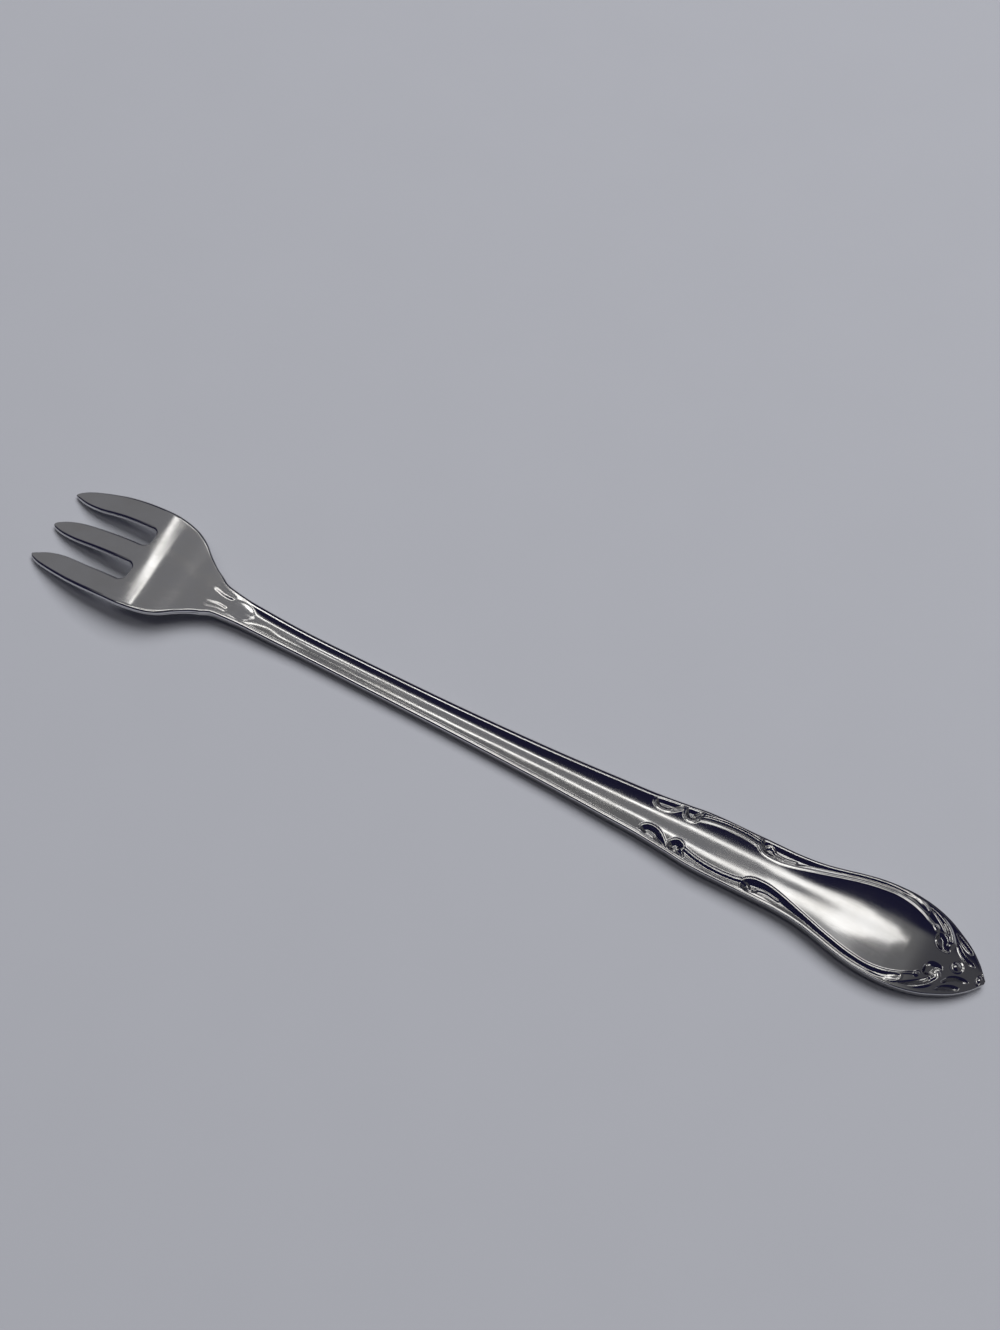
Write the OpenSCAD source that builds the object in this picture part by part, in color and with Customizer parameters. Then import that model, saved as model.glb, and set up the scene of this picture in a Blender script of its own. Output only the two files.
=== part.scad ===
// Oyster fork, stamped from one blank of stainless steel.
// The zones of the blank are separate solids that meet face to face.
// The fork lies face down, as it rests on a table: its points are at -X,
// the end of its handle is at +X, and its back is up.

/* [Lengths] */
// Tines, from their points to the closed ends of the slots
tine_length = 16.8; // [13:0.1:22]
// Head, from the closed ends of the slots to the foot of the shoulders
head_length = 12.2; // [9:0.1:16]
// Neck, from the shoulders to the point of the sunk panel
neck_length = 7.7; // [6:0.1:11]
// Shank, the slender stretch with a rim along each edge
shank_length = 64; // [48:0.5:84]
// Handle, from the first leaf to the scrolls of the tip
handle_length = 39.3; // [30:0.1:52]
// Scrolled tip, from the widest stretch to the very end
tip_length = 11.3; // [9:0.1:15]

/* [Widths] */
// Head across its outer tines
head_width = 17.3; // [13.5:0.1:22]
// Middle tine at its root
middle_tine_width = 3.6; // [2.8:0.05:4.5]
// Slot between two tines
slot_width = 2.95; // [2.4:0.05:3.7]
// Corner radius at the closed end of a slot
slot_corner = 1.1; // [0.8:0.05:1.4]
// Distance between the points of the outer tines
point_spread = 11.9; // [9.7:0.1:14.5]
// Blunt point of a tine
point_width = 0.4; // [0.3:0.02:0.6]
// Shank at its narrowest
shank_width = 3.95; // [3.1:0.05:5]
// Shank where it meets the handle
shank_end_width = 6.95; // [5.6:0.05:8.6]
// Handle at its waist, between the two pairs of leaves
waist_width = 8.9; // [7.2:0.1:10.9]
// Handle at its widest
handle_width = 13.8; // [11.2:0.1:17]

/* [Thickness] */
// Tines at their points
point_thickness = 0.8; // [0.6:0.02:1]
// Head and roots of the tines
head_thickness = 1.05; // [0.8:0.05:1.4]
// Edge of the shank
shank_thickness = 1.7; // [1.3:0.05:2.2]
// Edge of the handle
handle_thickness = 1.72; // [1.3:0.05:2.2]
// Rounding of the edges of the head
head_edge_radius = 0.28; // [0.2:0.01:0.38]
// Rounding of the edges of the handle
handle_edge_radius = 0.46; // [0.3:0.01:0.56]

/* [Bends] */
// Face of the head at its highest, above the table
crest_height = 4; // [3.2:0.1:5]
// Face of the neck above the table
neck_height = 0.95; // [0.7:0.05:1.3]
// Face of the shank above the table, midway
shank_clearance = 0.05; // [0.03:0.01:0.1]
// Face of the handle above the table, at the widest stretch
handle_height = 0.75; // [0.5:0.05:1]

/* [Relief] */
// Crown of the back across the neck
neck_crown = 0.32; // [0.2:0.02:0.45]
// Crown of the back across the shank
shank_crown = 0.33; // [0.22:0.01:0.44]
// Crown of the back across the waist of the handle
waist_crown = 0.44; // [0.3:0.01:0.58]
// Crown of the back across the handle at its widest
handle_crown = 0.66; // [0.44:0.02:0.86]
// Crown of the face across the shank
face_shank_crown = 0.08; // [0.04:0.01:0.14]
// Crown of the face across the handle
face_handle_crown = 0.42; // [0.25:0.02:0.55]
// Deepest sinking of the leaves and grooves
sink_depth = 0.4; // [0.28:0.02:0.5]
// Flat rim along the edges, with its rounding
rim_width = 0.78; // [0.6:0.02:0.95]
// Raised line along the rim
rim_rise = 0.06; // [0.03:0.01:0.1]
// Raised line round the domed panel
bead_rise = 0.12; // [0.08:0.01:0.18]
// Pearl in the middle of the tip
pearl_width = 1.5; // [1.2:0.05:1.9]
// Pearl at the very end
end_pearl_width = 0.9; // [0.7:0.05:1.1]
// Eye of a scroll
eye_width = 1; // [0.8:0.05:1.3]
// Thickness of a curled leaf
leaf_width = 0.8; // [0.6:0.05:1]
// Height of pearls, eyes and leaves over the ground they stand on
boss_rise = 0.2; // [0.14:0.01:0.28]

/* [Hidden] */
steel = [0.72, 0.72, 0.73];

// Limits that keep a fillet inside its wall
corner_limit_share = 0.48;
edge_wall_share = 0.42;
edge_side_share = 0.45;

// Places along the fork
length = tine_length + head_length + neck_length + shank_length + handle_length + tip_length;
tips_at = -length / 2;
slots_at = tips_at + tine_length;
head_end_at = slots_at + head_length;
neck_end_at = head_end_at + neck_length;
shank_end_at = neck_end_at + shank_length;
handle_end_at = shank_end_at + handle_length;
end_at = handle_end_at + tip_length;
corner = min(slot_corner, slot_width * corner_limit_share);
// Tines meet the head where the slots begin to round off
seam_at = slots_at - corner;
overrun = 1;

// Tables below pair a share of a zone's length with a share of the size named beside them
function placed(start, span, shares, size) = [for (p = shares) [start + span * p[0], size * p[1]]];

// A smooth line through [place, value] pairs that never overshoots them
function rise(line, i) = (line[i + 1][1] - line[i][1]) / (line[i + 1][0] - line[i][0]);
function slope(line, i) =
    i == 0 ? rise(line, 0)
    : i == len(line) - 1 ? rise(line, i - 1)
    : let (before = rise(line, i - 1), after = rise(line, i))
      before * after <= 0 ? 0 : 2 * before * after / (before + after);
function stretch(line, x, i = 0) =
    i >= len(line) - 2 || x < line[i + 1][0] ? i : stretch(line, x, i + 1);
function value_at(line, x) =
    let (
        i = stretch(line, x),
        span = line[i + 1][0] - line[i][0],
        t = max(0, min(1, (x - line[i][0]) / span)),
        leave = slope(line, i) * span,
        arrive = slope(line, i + 1) * span,
        a = line[i][1],
        b = line[i + 1][1]
    )
    a + t * (leave + t * (3 * (b - a) - 2 * leave - arrive + t * (2 * (a - b) + leave + arrive)));

// Half width of the blank, by zone
shoulder_width_shares = [[0, 1], [0.10, 0.994], [0.26, 0.965], [0.43, 0.907], [0.59, 0.80], [0.75, 0.62],
                         [0.92, 0.455], [1, 0.40]];
neck_width_shares = [[0.2, 1.36], [0.4, 1.24], [0.66, 1.14], [0.92, 1.09]];
shank_width_shares = [[0.15, 1], [0.3, 1.04], [0.46, 1.1]];
shank_flare_shares = [[0.62, 0.69], [0.77, 0.78], [0.93, 0.93], [1, 1]];
waist_width_shares = [[0.135, 0.9], [0.21, 0.975], [0.29, 1], [0.41, 1], [0.52, 1]];
handle_width_shares = [[0.59, 0.667], [0.65, 0.71], [0.72, 0.797], [0.77, 0.87], [0.85, 0.962], [0.9, 0.991],
                       [0.95, 1], [1, 0.978]];
tip_width_shares = [[0.177, 0.928], [0.354, 0.84], [0.531, 0.703], [0.708, 0.536], [0.885, 0.283],
                    [0.96, 0.13], [1, 0.045]];
half_width_line = concat(
    [[seam_at, head_width / 2]],
    placed(slots_at, head_length, shoulder_width_shares, head_width / 2),
    placed(head_end_at, neck_length, neck_width_shares, shank_width / 2),
    placed(neck_end_at, shank_length, shank_width_shares, shank_width / 2),
    placed(neck_end_at, shank_length, shank_flare_shares, shank_end_width / 2),
    placed(shank_end_at, handle_length, waist_width_shares, waist_width / 2),
    placed(shank_end_at, handle_length, handle_width_shares, handle_width / 2),
    placed(handle_end_at, tip_length, tip_width_shares, handle_width / 2)
);

// Middle of the face above the table
tine_bend_shares = [[0, 0], [0.18, 0.25], [0.357, 0.47], [0.595, 0.73], [0.833, 0.918], [1, 0.993]];
head_bend_shares = [[0.098, 1], [0.246, 0.984], [0.357, 0.953], [0.48, 0.9], [0.643, 0.805], [0.807, 0.696],
                    [0.93, 0.607]];
neck_bend_shares = [[0.13, 2.09], [0.39, 1.58], [0.65, 1.18], [0.91, 0.92]];
shank_bend_shares = [[0.07, 7], [0.15, 3.6], [0.3, 1.8], [0.5, 1], [0.65, 1.6], [0.77, 3.6]];
handle_bend_shares = [[0, 0.5], [0.13, 0.58], [0.3, 0.7], [0.52, 0.93], [0.77, 1], [0.95, 0.87]];
tip_bend_shares = [[0.354, 0.53], [0.708, 0.2], [1, 0]];
face_line = concat(
    placed(tips_at, tine_length, tine_bend_shares, crest_height),
    placed(slots_at, head_length, head_bend_shares, crest_height),
    placed(head_end_at, neck_length, neck_bend_shares, neck_height),
    placed(neck_end_at, shank_length, shank_bend_shares, shank_clearance),
    placed(shank_end_at, handle_length, handle_bend_shares, handle_height),
    placed(handle_end_at, tip_length, tip_bend_shares, handle_height)
);

// Thickness of the edges
point_thickness_share = 0.18;
shoulder_share = 0.65;
neck_thickness_share = 0.6;
thickness_line = [
    [tips_at, point_thickness],
    [tips_at + tine_length * point_thickness_share, (point_thickness + head_thickness) / 2],
    [slots_at, head_thickness],
    [slots_at + head_length * shoulder_share, head_thickness],
    [head_end_at + neck_length * neck_thickness_share, shank_thickness],
    [shank_end_at, shank_thickness],
    [shank_end_at + handle_length / 2, handle_thickness],
    [end_at, handle_thickness]
];

// Crown of the back and of the face over the edges
flat_head_share = 0.8;
neck_crown_share = 0.45;
crown_end_share = 0.6;
crown_line = [
    [slots_at + head_length * flat_head_share, 0],
    [head_end_at + neck_length * neck_crown_share, neck_crown],
    [neck_end_at, neck_crown],
    [neck_end_at + shank_length / 4, shank_crown],
    [neck_end_at + shank_length * 3 / 4, shank_crown],
    [shank_end_at + handle_length / 3, waist_crown],
    [shank_end_at + handle_length / 2, waist_crown],
    [handle_end_at - handle_length / 8, handle_crown],
    [handle_end_at, handle_crown],
    [handle_end_at + tip_length * crown_end_share, handle_crown / 2],
    [end_at, 0]
];
face_crown_line = [
    [head_end_at, 0],
    [neck_end_at, face_shank_crown],
    [neck_end_at + shank_length * 3 / 4, face_shank_crown],
    [shank_end_at + handle_length / 3, face_handle_crown],
    [handle_end_at, face_handle_crown],
    [end_at, 0]
];

// Radius of the rounded edges
edge_line = [
    [slots_at, head_edge_radius],
    [shank_end_at, handle_edge_radius]
];

// Sunk ground between the domed panel and the rim, as shares of the half width.
// It is hardly more than a line along the shank, then a leaf, a round, a groove and a long leaf.
shank_inner_shares = [[0, 0.04], [0.012, 0.3], [0.03, 0.55], [0.06, 0.64], [0.98, 0.7]];
shank_outer_shares = [[0, 0.1], [0.012, 0.38], [0.03, 0.64], [0.06, 0.73], [0.98, 0.78]];
handle_inner_shares = [[0.008, 0.82], [0.016, 0.6], [0.048, 0.44], [0.085, 0.6], [0.122, 0.86],
                       [0.13, 0.69], [0.14, 0.48], [0.16, 0.41], [0.178, 0.48], [0.186, 0.66], [0.2, 0.8],
                       [0.4, 0.83], [0.412, 0.72], [0.42, 0.6], [0.44, 0.505], [0.475, 0.434], [0.52, 0.46],
                       [0.57, 0.574], [0.645, 0.745], [0.72, 0.845], [0.8, 0.86], [0.92, 0.836], [1, 0.77]];
handle_outer_shares = [[0.008, 0.82], [0.016, 0.87], [0.048, 0.9], [0.085, 0.89], [0.122, 0.87],
                       [0.13, 0.7], [0.14, 0.88], [0.16, 0.92], [0.178, 0.88], [0.186, 0.8], [0.2, 0.87],
                       [0.4, 0.88], [0.412, 0.8], [0.42, 0.86], [0.44, 0.885], [0.475, 0.885], [0.52, 0.89],
                       [0.57, 0.9], [0.645, 0.91], [0.72, 0.92], [0.8, 0.93], [0.92, 0.93], [1, 0.9]];
inner_line = concat(
    placed(neck_end_at, shank_length, shank_inner_shares, 1),
    placed(shank_end_at, handle_length, handle_inner_shares, 1)
);
outer_line = concat(
    placed(neck_end_at, shank_length, shank_outer_shares, 1),
    placed(shank_end_at, handle_length, handle_outer_shares, 1)
);
sink_slope_share = 0.5;
wall_share = 0.2;
// The ground rises outward to this share of its depth
floor_share = 0.55;
dome_column_shares = [0, 0.4, 0.75];
lip_share = 0.3;
// Least width of the ground and of the rim, as a share of the half width
land_share = 0.03;
// Before the panel starts nothing is sunk, and the columns only carry the crown
plain_inner_share = 0.5;
plain_outer_share = 0.7;

function half_width(x) = value_at(half_width_line, x);
function edge_thickness(x) = value_at(thickness_line, x);
function crown(x) = value_at(crown_line, x);
function face_crown(x) = value_at(face_crown_line, x);
function face_edge(x) = value_at(face_line, x) + face_crown(x);
function back_edge(x) = face_edge(x) + edge_thickness(x);
function inner_at(x) = x < neck_end_at ? plain_inner_share : value_at(inner_line, x);
function outer_at(x) = x < neck_end_at ? plain_outer_share : value_at(outer_line, x);
function sink(x, gap) = x < neck_end_at ? 0 : min(sink_depth, gap * sink_slope_share);
function rounding(x, half) =
    min(value_at(edge_line, x), edge_thickness(x) * edge_wall_share, half * edge_side_share);
// The rim is flat across: it starts as a line at the head and has its full width on the shank
function rim_foot(x) =
    half_width(x) - rim_width * max(0, min(1, (x - head_end_at) / neck_length));

// Height of the smooth back over a point of the plan
function back_height(x, y) =
    back_edge(x) + crown(x) * (1 - pow(min(abs(y), rim_foot(x)) / half_width(x), 2));
function face_height(x, y) = face_edge(x) - face_crown(x) * (1 - pow(y / half_width(x), 2));

// A column is [y, face, back]: half a section is a list of columns from the middle to the edge
function column(x, y, sunk, raised) =
    [y, face_height(x, y) + sunk - raised, back_height(x, y) - sunk + raised];
function half_section(x) =
    let (
        half = half_width(x),
        round = rounding(x, half),
        land = half * land_share,
        outer = min(outer_at(x) * half, half - round - land),
        inner = min(inner_at(x) * half, outer - land),
        gap = outer - inner,
        sunk = sink(x, gap - land),
        bead = bead_rise * sunk / sink_depth,
        rim = rim_rise * sunk / sink_depth,
        lip = round * lip_share,
        curl = round - sqrt(round * round - pow(round - lip, 2))
    )
    concat(
        [for (share = dome_column_shares) column(x, inner * share, 0, 0)],
        [
            column(x, inner, 0, bead),
            column(x, inner + gap * wall_share, sunk, 0),
            column(x, outer - gap * wall_share, sunk * floor_share, 0),
            column(x, outer, 0, 0),
            column(x, (outer + half - round) / 2, 0, rim),
            column(x, half - round, 0, 0),
            column(x, half - lip, curl, 0),
            column(x, half, round, 0)
        ]
    );
function mirrored(half) = [for (i = [len(half) - 1:-1:1]) [-half[i][0], half[i][1], half[i][2]]];
function section(x) = let (half = half_section(x)) concat(mirrored(half), half);

// Skin through a row of sections: the face, the back, the two edges and both ends
module skin(places, sections) {
    n = len(sections[0]);
    rows = len(places);
    points = [
        for (i = [0:rows - 1]) for (side = [1, 2]) for (c = sections[i]) [places[i], c[0], c[side]]
    ];
    // Index of a corner, by row, side (0 is the face, 1 is the back) and column
    function corner_of(i, side, c) = (i * 2 + side) * n + c;
    function quad(a, b, c, d) = [[a, b, c], [a, c, d]];
    faces = [
        for (i = [0:rows - 2]) for (c = [0:n - 2]) for (side = [0, 1])
            let (
                a = corner_of(i, side, c),
                b = corner_of(i + 1, side, c),
                d = corner_of(i + 1, side, c + 1),
                e = corner_of(i, side, c + 1)
            )
            for (f = side == 0 ? quad(a, b, d, e) : quad(a, e, d, b)) f,
        for (i = [0:rows - 2]) for (c = [0, n - 1])
            let (
                a = corner_of(i, 0, c),
                b = corner_of(i + 1, 0, c),
                d = corner_of(i + 1, 1, c),
                e = corner_of(i, 1, c)
            )
            for (f = c == 0 ? quad(a, e, d, b) : quad(a, b, d, e)) f,
        for (i = [0, rows - 1]) for (c = [0:n - 2])
            let (
                a = corner_of(i, 0, c),
                b = corner_of(i, 0, c + 1),
                d = corner_of(i, 1, c + 1),
                e = corner_of(i, 1, c)
            )
            for (f = i == 0 ? quad(a, b, d, e) : quad(a, e, d, b)) f
    ];
    polyhedron(points = points, faces = faces, convexity = 4);
}

// Even steps between two places, and rows of stations for a zone
function steps(from, to, count) = [for (i = [0:count]) from * (1 - i / count) + to * i / count];
function rows_of(start, span, shares) = [for (s = shares) start + span * s];

// Tines: half breadth of the middle one, and edges of an outer one as shares of
// the way from its point to the edge of the head and to the edge of its slot
middle_breadth_shares = [[0, 0], [0.012, 0.17], [0.03, 0.29], [0.06, 0.42], [0.12, 0.6], [0.179, 0.73],
                         [0.27, 0.85], [0.357, 0.91], [0.6, 0.96], [0.85, 1], [1, 1]];
outward_shares = [[0, 0], [0.012, 0.09], [0.06, 0.272], [0.12, 0.42], [0.238, 0.608], [0.357, 0.757],
                  [0.536, 0.907], [0.714, 0.98], [0.87, 1], [1, 1]];
inward_shares = [[0, 0], [0.012, 0.13], [0.06, 0.456], [0.179, 0.936], [0.27, 1.13], [0.357, 1.176],
                 [0.5, 1.08], [0.655, 1], [1, 1]];
tine_station_shares = [0, 0.006, 0.02, 0.045, 0.08, 0.13, 0.19, 0.26, 0.34, 0.43, 0.53, 0.63, 0.74, 0.84];
tine_places = concat(rows_of(tips_at, tine_length, tine_station_shares), [seam_at]);
root_half = middle_tine_width / 2;
slot_outer = root_half + slot_width;

function along_tine(x, shares) = value_at(placed(tips_at, tine_length, shares, 1), x);
function tine_side(x, y, way, round) =
    let (
        lip = round * lip_share,
        curl = round == 0 ? 0 : round - sqrt(round * round - pow(round - lip, 2))
    )
    [
        column(x, y - way * round, 0, 0),
        column(x, y - way * lip, curl, 0),
        column(x, y, round, 0)
    ];
// A slot's own edges are sharp where they meet the head and soften along the tine
function slot_rounding(x, half) =
    rounding(x, half) * max(0, min(1, (seam_at - x) / (tine_length - corner) / softening_share));
softening_share = 0.3;
function tine_section(x, low, high, low_round, high_round) =
    let (side = tine_side(x, low, -1, low_round))
    concat([for (i = [2:-1:0]) side[i]], tine_side(x, high, 1, high_round));
function middle_section(x) =
    let (
        half = max(point_width / 2, root_half * along_tine(x, middle_breadth_shares)),
        round = slot_rounding(x, half)
    )
    tine_section(x, -half, half, round, round);
function outer_section(x) =
    let (
        point = point_spread / 2,
        high = max(point + point_width / 2, point + (head_width / 2 - point) * along_tine(x, outward_shares)),
        low = min(point - point_width / 2, point - (point - slot_outer) * along_tine(x, inward_shares)),
        half = (high - low) / 2
    )
    tine_section(x, low, high, slot_rounding(x, half), rounding(x, half));
function flipped(section) = [for (i = [len(section) - 1:-1:0]) [-section[i][0], section[i][1], section[i][2]]];

module left_tine() {
    color(steel) skin(tine_places, [for (x = tine_places) flipped(outer_section(x))]);
}

module middle_tine() {
    color(steel) skin(tine_places, [for (x = tine_places) middle_section(x)]);
}

module right_tine() {
    color(steel) skin(tine_places, [for (x = tine_places) outer_section(x)]);
}

// Head: the bent plate behind the tines, with the closed ends of the two slots
head_height = crest_height + head_thickness + neck_crown;
module slot() {
    reach = corner + overrun;
    top = head_height + overrun;
    translate([seam_at - overrun, root_half, 0]) cube([overrun, slot_width, top]);
    translate([seam_at - overrun, root_half + corner, 0]) cube([reach, slot_width - 2 * corner, top]);
    for (y = [root_half + corner, slot_outer - corner]) {
        translate([seam_at, y, 0]) cylinder(r = corner, h = top, $fn = 48);
    }
}

head_rows = 15;
module head() {
    places = concat([seam_at], steps(slots_at, head_end_at, head_rows));
    color(steel) difference() {
        skin(places, [for (x = places) section(x)]);
        slot();
        mirror([0, 1, 0]) slot();
    }
}

// Neck: the saddle between the shoulders and the panel
neck_rows = 10;
module neck() {
    places = steps(head_end_at, neck_end_at, neck_rows);
    color(steel) skin(places, [for (x = places) section(x)]);
}

// Shank: a crowned bar with a rim and a groove along each edge, pointed at its start
shank_point_shares = [0, 0.004, 0.008, 0.013, 0.02, 0.03, 0.045, 0.065];
shank_rows = 16;
module shank() {
    start = rows_of(neck_end_at, shank_length, shank_point_shares);
    rest = steps(start[len(start) - 1], shank_end_at, shank_rows);
    places = concat(start, [for (i = [1:shank_rows]) rest[i]]);
    color(steel) skin(places, [for (x = places) section(x)]);
}

// Handle: a domed panel between sunk leaves, which follow the rim
leaf_station_shares = [0, 0.008, 0.012, 0.018, 0.028, 0.04, 0.052, 0.065, 0.08, 0.095, 0.11, 0.122, 0.13,
                       0.135, 0.142, 0.15, 0.16, 0.17, 0.178, 0.184, 0.19, 0.2, 0.235, 0.27, 0.305, 0.34,
                       0.37, 0.395, 0.405, 0.412, 0.418, 0.425, 0.434, 0.445, 0.46, 0.48, 0.5, 0.52, 0.545,
                       0.57, 0.6, 0.63, 0.66, 0.69, 0.72, 0.75, 0.78, 0.81, 0.84, 0.87, 0.9, 0.93, 0.96, 1];
module handle() {
    places = rows_of(shank_end_at, handle_length, leaf_station_shares);
    color(steel) skin(places, [for (x = places) section(x)]);
}

// Tip: pearls, scroll eyes and curled leaves stand in a sunk ground inside the rim.
// Each boss is a row of points, as [share of the tip's length, share of the half width].
eye = [[0.257, 0.567], [0.3, 0.45], [0.38, 0.36]];
petal = [[0.32, 0.24], [0.455, 0.44]];
outer_leaf = [[0.46, 0.76], [0.58, 0.82], [0.72, 0.78]];
inner_leaf = [[0.56, 0.58], [0.66, 0.5], [0.74, 0.42]];
pearl = [[0.637, 0]];
end_pearl = [[0.93, 0]];
ground_inner_shares = [[0, 0.77], [0.1, 0.705], [0.22, 0.6], [0.3, 0.45], [0.42, 0.28], [0.5, 0.1], [0.56, 0]];
ground_outer_shares = [[0, 0.9], [0.5, 0.88], [0.8, 0.8], [0.9, 0.7], [1, 0.5]];
ground_sink_share = 0.7;
ground_fade_share = 0.07;
tip_columns = 13;
tip_rows = 22;
tip_end_shares = [0.95, 0.975, 0.99, 1];

function distance_to(p, a, b) =
    let (way = b - a, reach = way * way, t = reach == 0 ? 0 : max(0, min(1, (p - a) * way / reach)))
    norm(p - a - way * t);
function on_plan(spot) =
    let (x = handle_end_at + tip_length * spot[0]) [x, half_width(x) * spot[1]];
// A round bead of the given width that follows the spots and stands its rise over the back
function boss(p, spots, width) =
    let (
        plan = [for (spot = spots) on_plan(spot)],
        last = len(plan) - 1,
        away = min([for (i = [0:last]) distance_to(p, plan[i], plan[min(i + 1, last)])]),
        r = width / 2
    )
    away >= r ? -sink_depth : sqrt(r * r - away * away) - r + boss_rise;
function ground(x, across) =
    let (
        inner = value_at(placed(handle_end_at, tip_length, ground_inner_shares, 1), x),
        outer = value_at(placed(handle_end_at, tip_length, ground_outer_shares, 1), x),
        inside = min(inner == 0 ? ground_fade_share : across - inner, outer - across)
    )
    -sink_depth * ground_sink_share * max(0, min(1, inside / ground_fade_share));
function relief(x, y) =
    let (p = [x, y])
    max(
        ground(x, y / half_width(x)),
        boss(p, eye, eye_width),
        boss(p, petal, leaf_width),
        boss(p, outer_leaf, leaf_width),
        boss(p, inner_leaf, leaf_width),
        boss(p, pearl, pearl_width),
        boss(p, end_pearl, end_pearl_width)
    );
// The face has the same relief, with its bosses flush, so that they don't lift the fork
function relief_column(x, y) =
    let (lift = relief(x, y)) [y, face_height(x, y) - min(0, lift), back_height(x, y) + lift];
function tip_half_section(x) =
    let (
        half = half_width(x),
        round = rounding(x, half),
        lip = round * lip_share,
        curl = round - sqrt(round * round - pow(round - lip, 2))
    )
    concat(
        [for (i = [0:tip_columns]) relief_column(x, (half - round) * i / tip_columns)],
        [column(x, half - lip, curl, 0), column(x, half, round, 0)]
    );

module handle_tip() {
    body = rows_of(handle_end_at, tip_length * tip_end_shares[0], steps(0, 1, tip_rows));
    end = rows_of(handle_end_at, tip_length, tip_end_shares);
    places = concat(body, [for (i = [1:len(end) - 1]) end[i]]);
    color(steel)
        skin(places, [for (x = places) let (half = tip_half_section(x)) concat(mirrored(half), half)]);
}

left_tine();
middle_tine();
right_tine();
head();
neck();
shank();
handle();
handle_tip();
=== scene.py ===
"""Oyster fork of stamped stainless steel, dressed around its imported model.

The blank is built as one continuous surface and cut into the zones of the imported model.
Lengths in the tables and formulas are in millimetres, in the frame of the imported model:
+X towards the end of the handle, +Y across, +Z out of the back of the fork.
"""

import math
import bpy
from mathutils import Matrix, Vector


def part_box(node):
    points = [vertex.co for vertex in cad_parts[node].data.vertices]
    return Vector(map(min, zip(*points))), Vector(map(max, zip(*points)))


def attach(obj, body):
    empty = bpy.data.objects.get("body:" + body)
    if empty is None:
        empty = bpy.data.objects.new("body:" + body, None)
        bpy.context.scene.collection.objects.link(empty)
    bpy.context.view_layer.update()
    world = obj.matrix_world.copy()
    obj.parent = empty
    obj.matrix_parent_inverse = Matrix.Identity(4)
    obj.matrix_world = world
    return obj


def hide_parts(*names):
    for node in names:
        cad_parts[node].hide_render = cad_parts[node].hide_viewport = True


bl_info = {
    "name": "Oyster Fork",
    "version": (1, 0, 0),
    "blender": (4, 5, 0),
    "location": "View3D > Sidebar > Oyster Fork",
    "description": "Builds a stamped stainless oyster fork with a relief handle and its studio",
    "category": "Object",
}

import bpy
import numpy as np
from bpy.props import FloatProperty, FloatVectorProperty, PointerProperty
from mathutils import Vector

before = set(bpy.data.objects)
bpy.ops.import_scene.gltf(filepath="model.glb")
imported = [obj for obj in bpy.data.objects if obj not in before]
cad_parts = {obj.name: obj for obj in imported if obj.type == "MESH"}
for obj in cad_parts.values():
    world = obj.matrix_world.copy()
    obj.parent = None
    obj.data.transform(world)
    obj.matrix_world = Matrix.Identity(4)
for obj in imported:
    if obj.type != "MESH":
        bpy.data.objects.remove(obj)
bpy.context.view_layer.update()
MM = 0.001


def side_of(node, corner, axis):
    """One side of a node's box, in millimetres."""
    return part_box(node)[corner][axis] / MM


# Places along the fork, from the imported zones
TIPS_AT = side_of("middle_tine", 0, 0)
SEAM_AT = side_of("middle_tine", 1, 0)
HEAD_END_AT = side_of("head", 1, 0)
NECK_END_AT = side_of("neck", 1, 0)
SHANK_END_AT = side_of("shank", 1, 0)
HANDLE_END_AT = side_of("handle", 1, 0)
END_AT = side_of("handle_tip", 1, 0)

# Driving sizes
HEAD_HALF = side_of("head", 1, 1)
HANDLE_HALF = side_of("handle", 1, 1)
SHANK_END_HALF = side_of("shank", 1, 1)
TINE_ROOT_HALF = side_of("middle_tine", 1, 1)
SHANK_HALF = 1.975
WAIST_HALF = 4.45
SLOT_WIDTH = 2.95
SLOT_CORNER = 1.1
POINT_HALF_SPREAD = 5.95
POINT_HALF_WIDTH = 0.2
POINT_THICKNESS = 0.8
HEAD_THICKNESS = 1.05
SHANK_THICKNESS = 1.7
HANDLE_THICKNESS = 1.72
CREST_HEIGHT = 4.0
NECK_HEIGHT = 0.95
SHANK_CLEARANCE = 0.05
HANDLE_HEIGHT = 0.75
NECK_CROWN = 0.11
SHANK_CROWN = 0.33
WAIST_CROWN = 0.44
HANDLE_CROWN = 0.66
FACE_SHANK_CROWN = 0.08
FACE_HANDLE_CROWN = 0.42

SLOTS_AT = SEAM_AT + SLOT_CORNER
SLOT_OUTER = TINE_ROOT_HALF + SLOT_WIDTH
TINE_SPAN = SLOTS_AT - TIPS_AT
HEAD_SPAN = HEAD_END_AT - SLOTS_AT
NECK_SPAN = NECK_END_AT - HEAD_END_AT
SHANK_SPAN = SHANK_END_AT - NECK_END_AT
HANDLE_SPAN = HANDLE_END_AT - SHANK_END_AT
TIP_SPAN = END_AT - HANDLE_END_AT


class Line:
    """A smooth line through [place, value] pairs that never overshoots them."""

    def __init__(self, pairs):
        self.at, self.value = np.array(pairs, float).T
        rise = np.diff(self.value) / np.diff(self.at)
        before, after = rise[:-1], rise[1:]
        total = np.where(np.abs(before + after) < 1e-12, 1, before + after)
        middle = np.where(before * after <= 0, 0, 2 * before * after / total)
        self.slope = np.concatenate([rise[:1], middle, rise[-1:]])

    def __call__(self, x):
        i = np.clip(np.searchsorted(self.at, x, side="right") - 1, 0, len(self.at) - 2)
        span = self.at[i + 1] - self.at[i]
        t = np.clip((x - self.at[i]) / span, 0, 1)
        a, b = self.value[i], self.value[i + 1]
        leave, arrive = self.slope[i] * span, self.slope[i + 1] * span
        square = 3 * (b - a) - 2 * leave - arrive
        cube = 2 * (a - b) + leave + arrive
        return a + t * (leave + t * (square + t * cube))


def placed(start, span, shares, size):
    """Pairs of shares, as places from start over span and as values of size."""
    return [[start + span * place, size * value] for place, value in shares]


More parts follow.
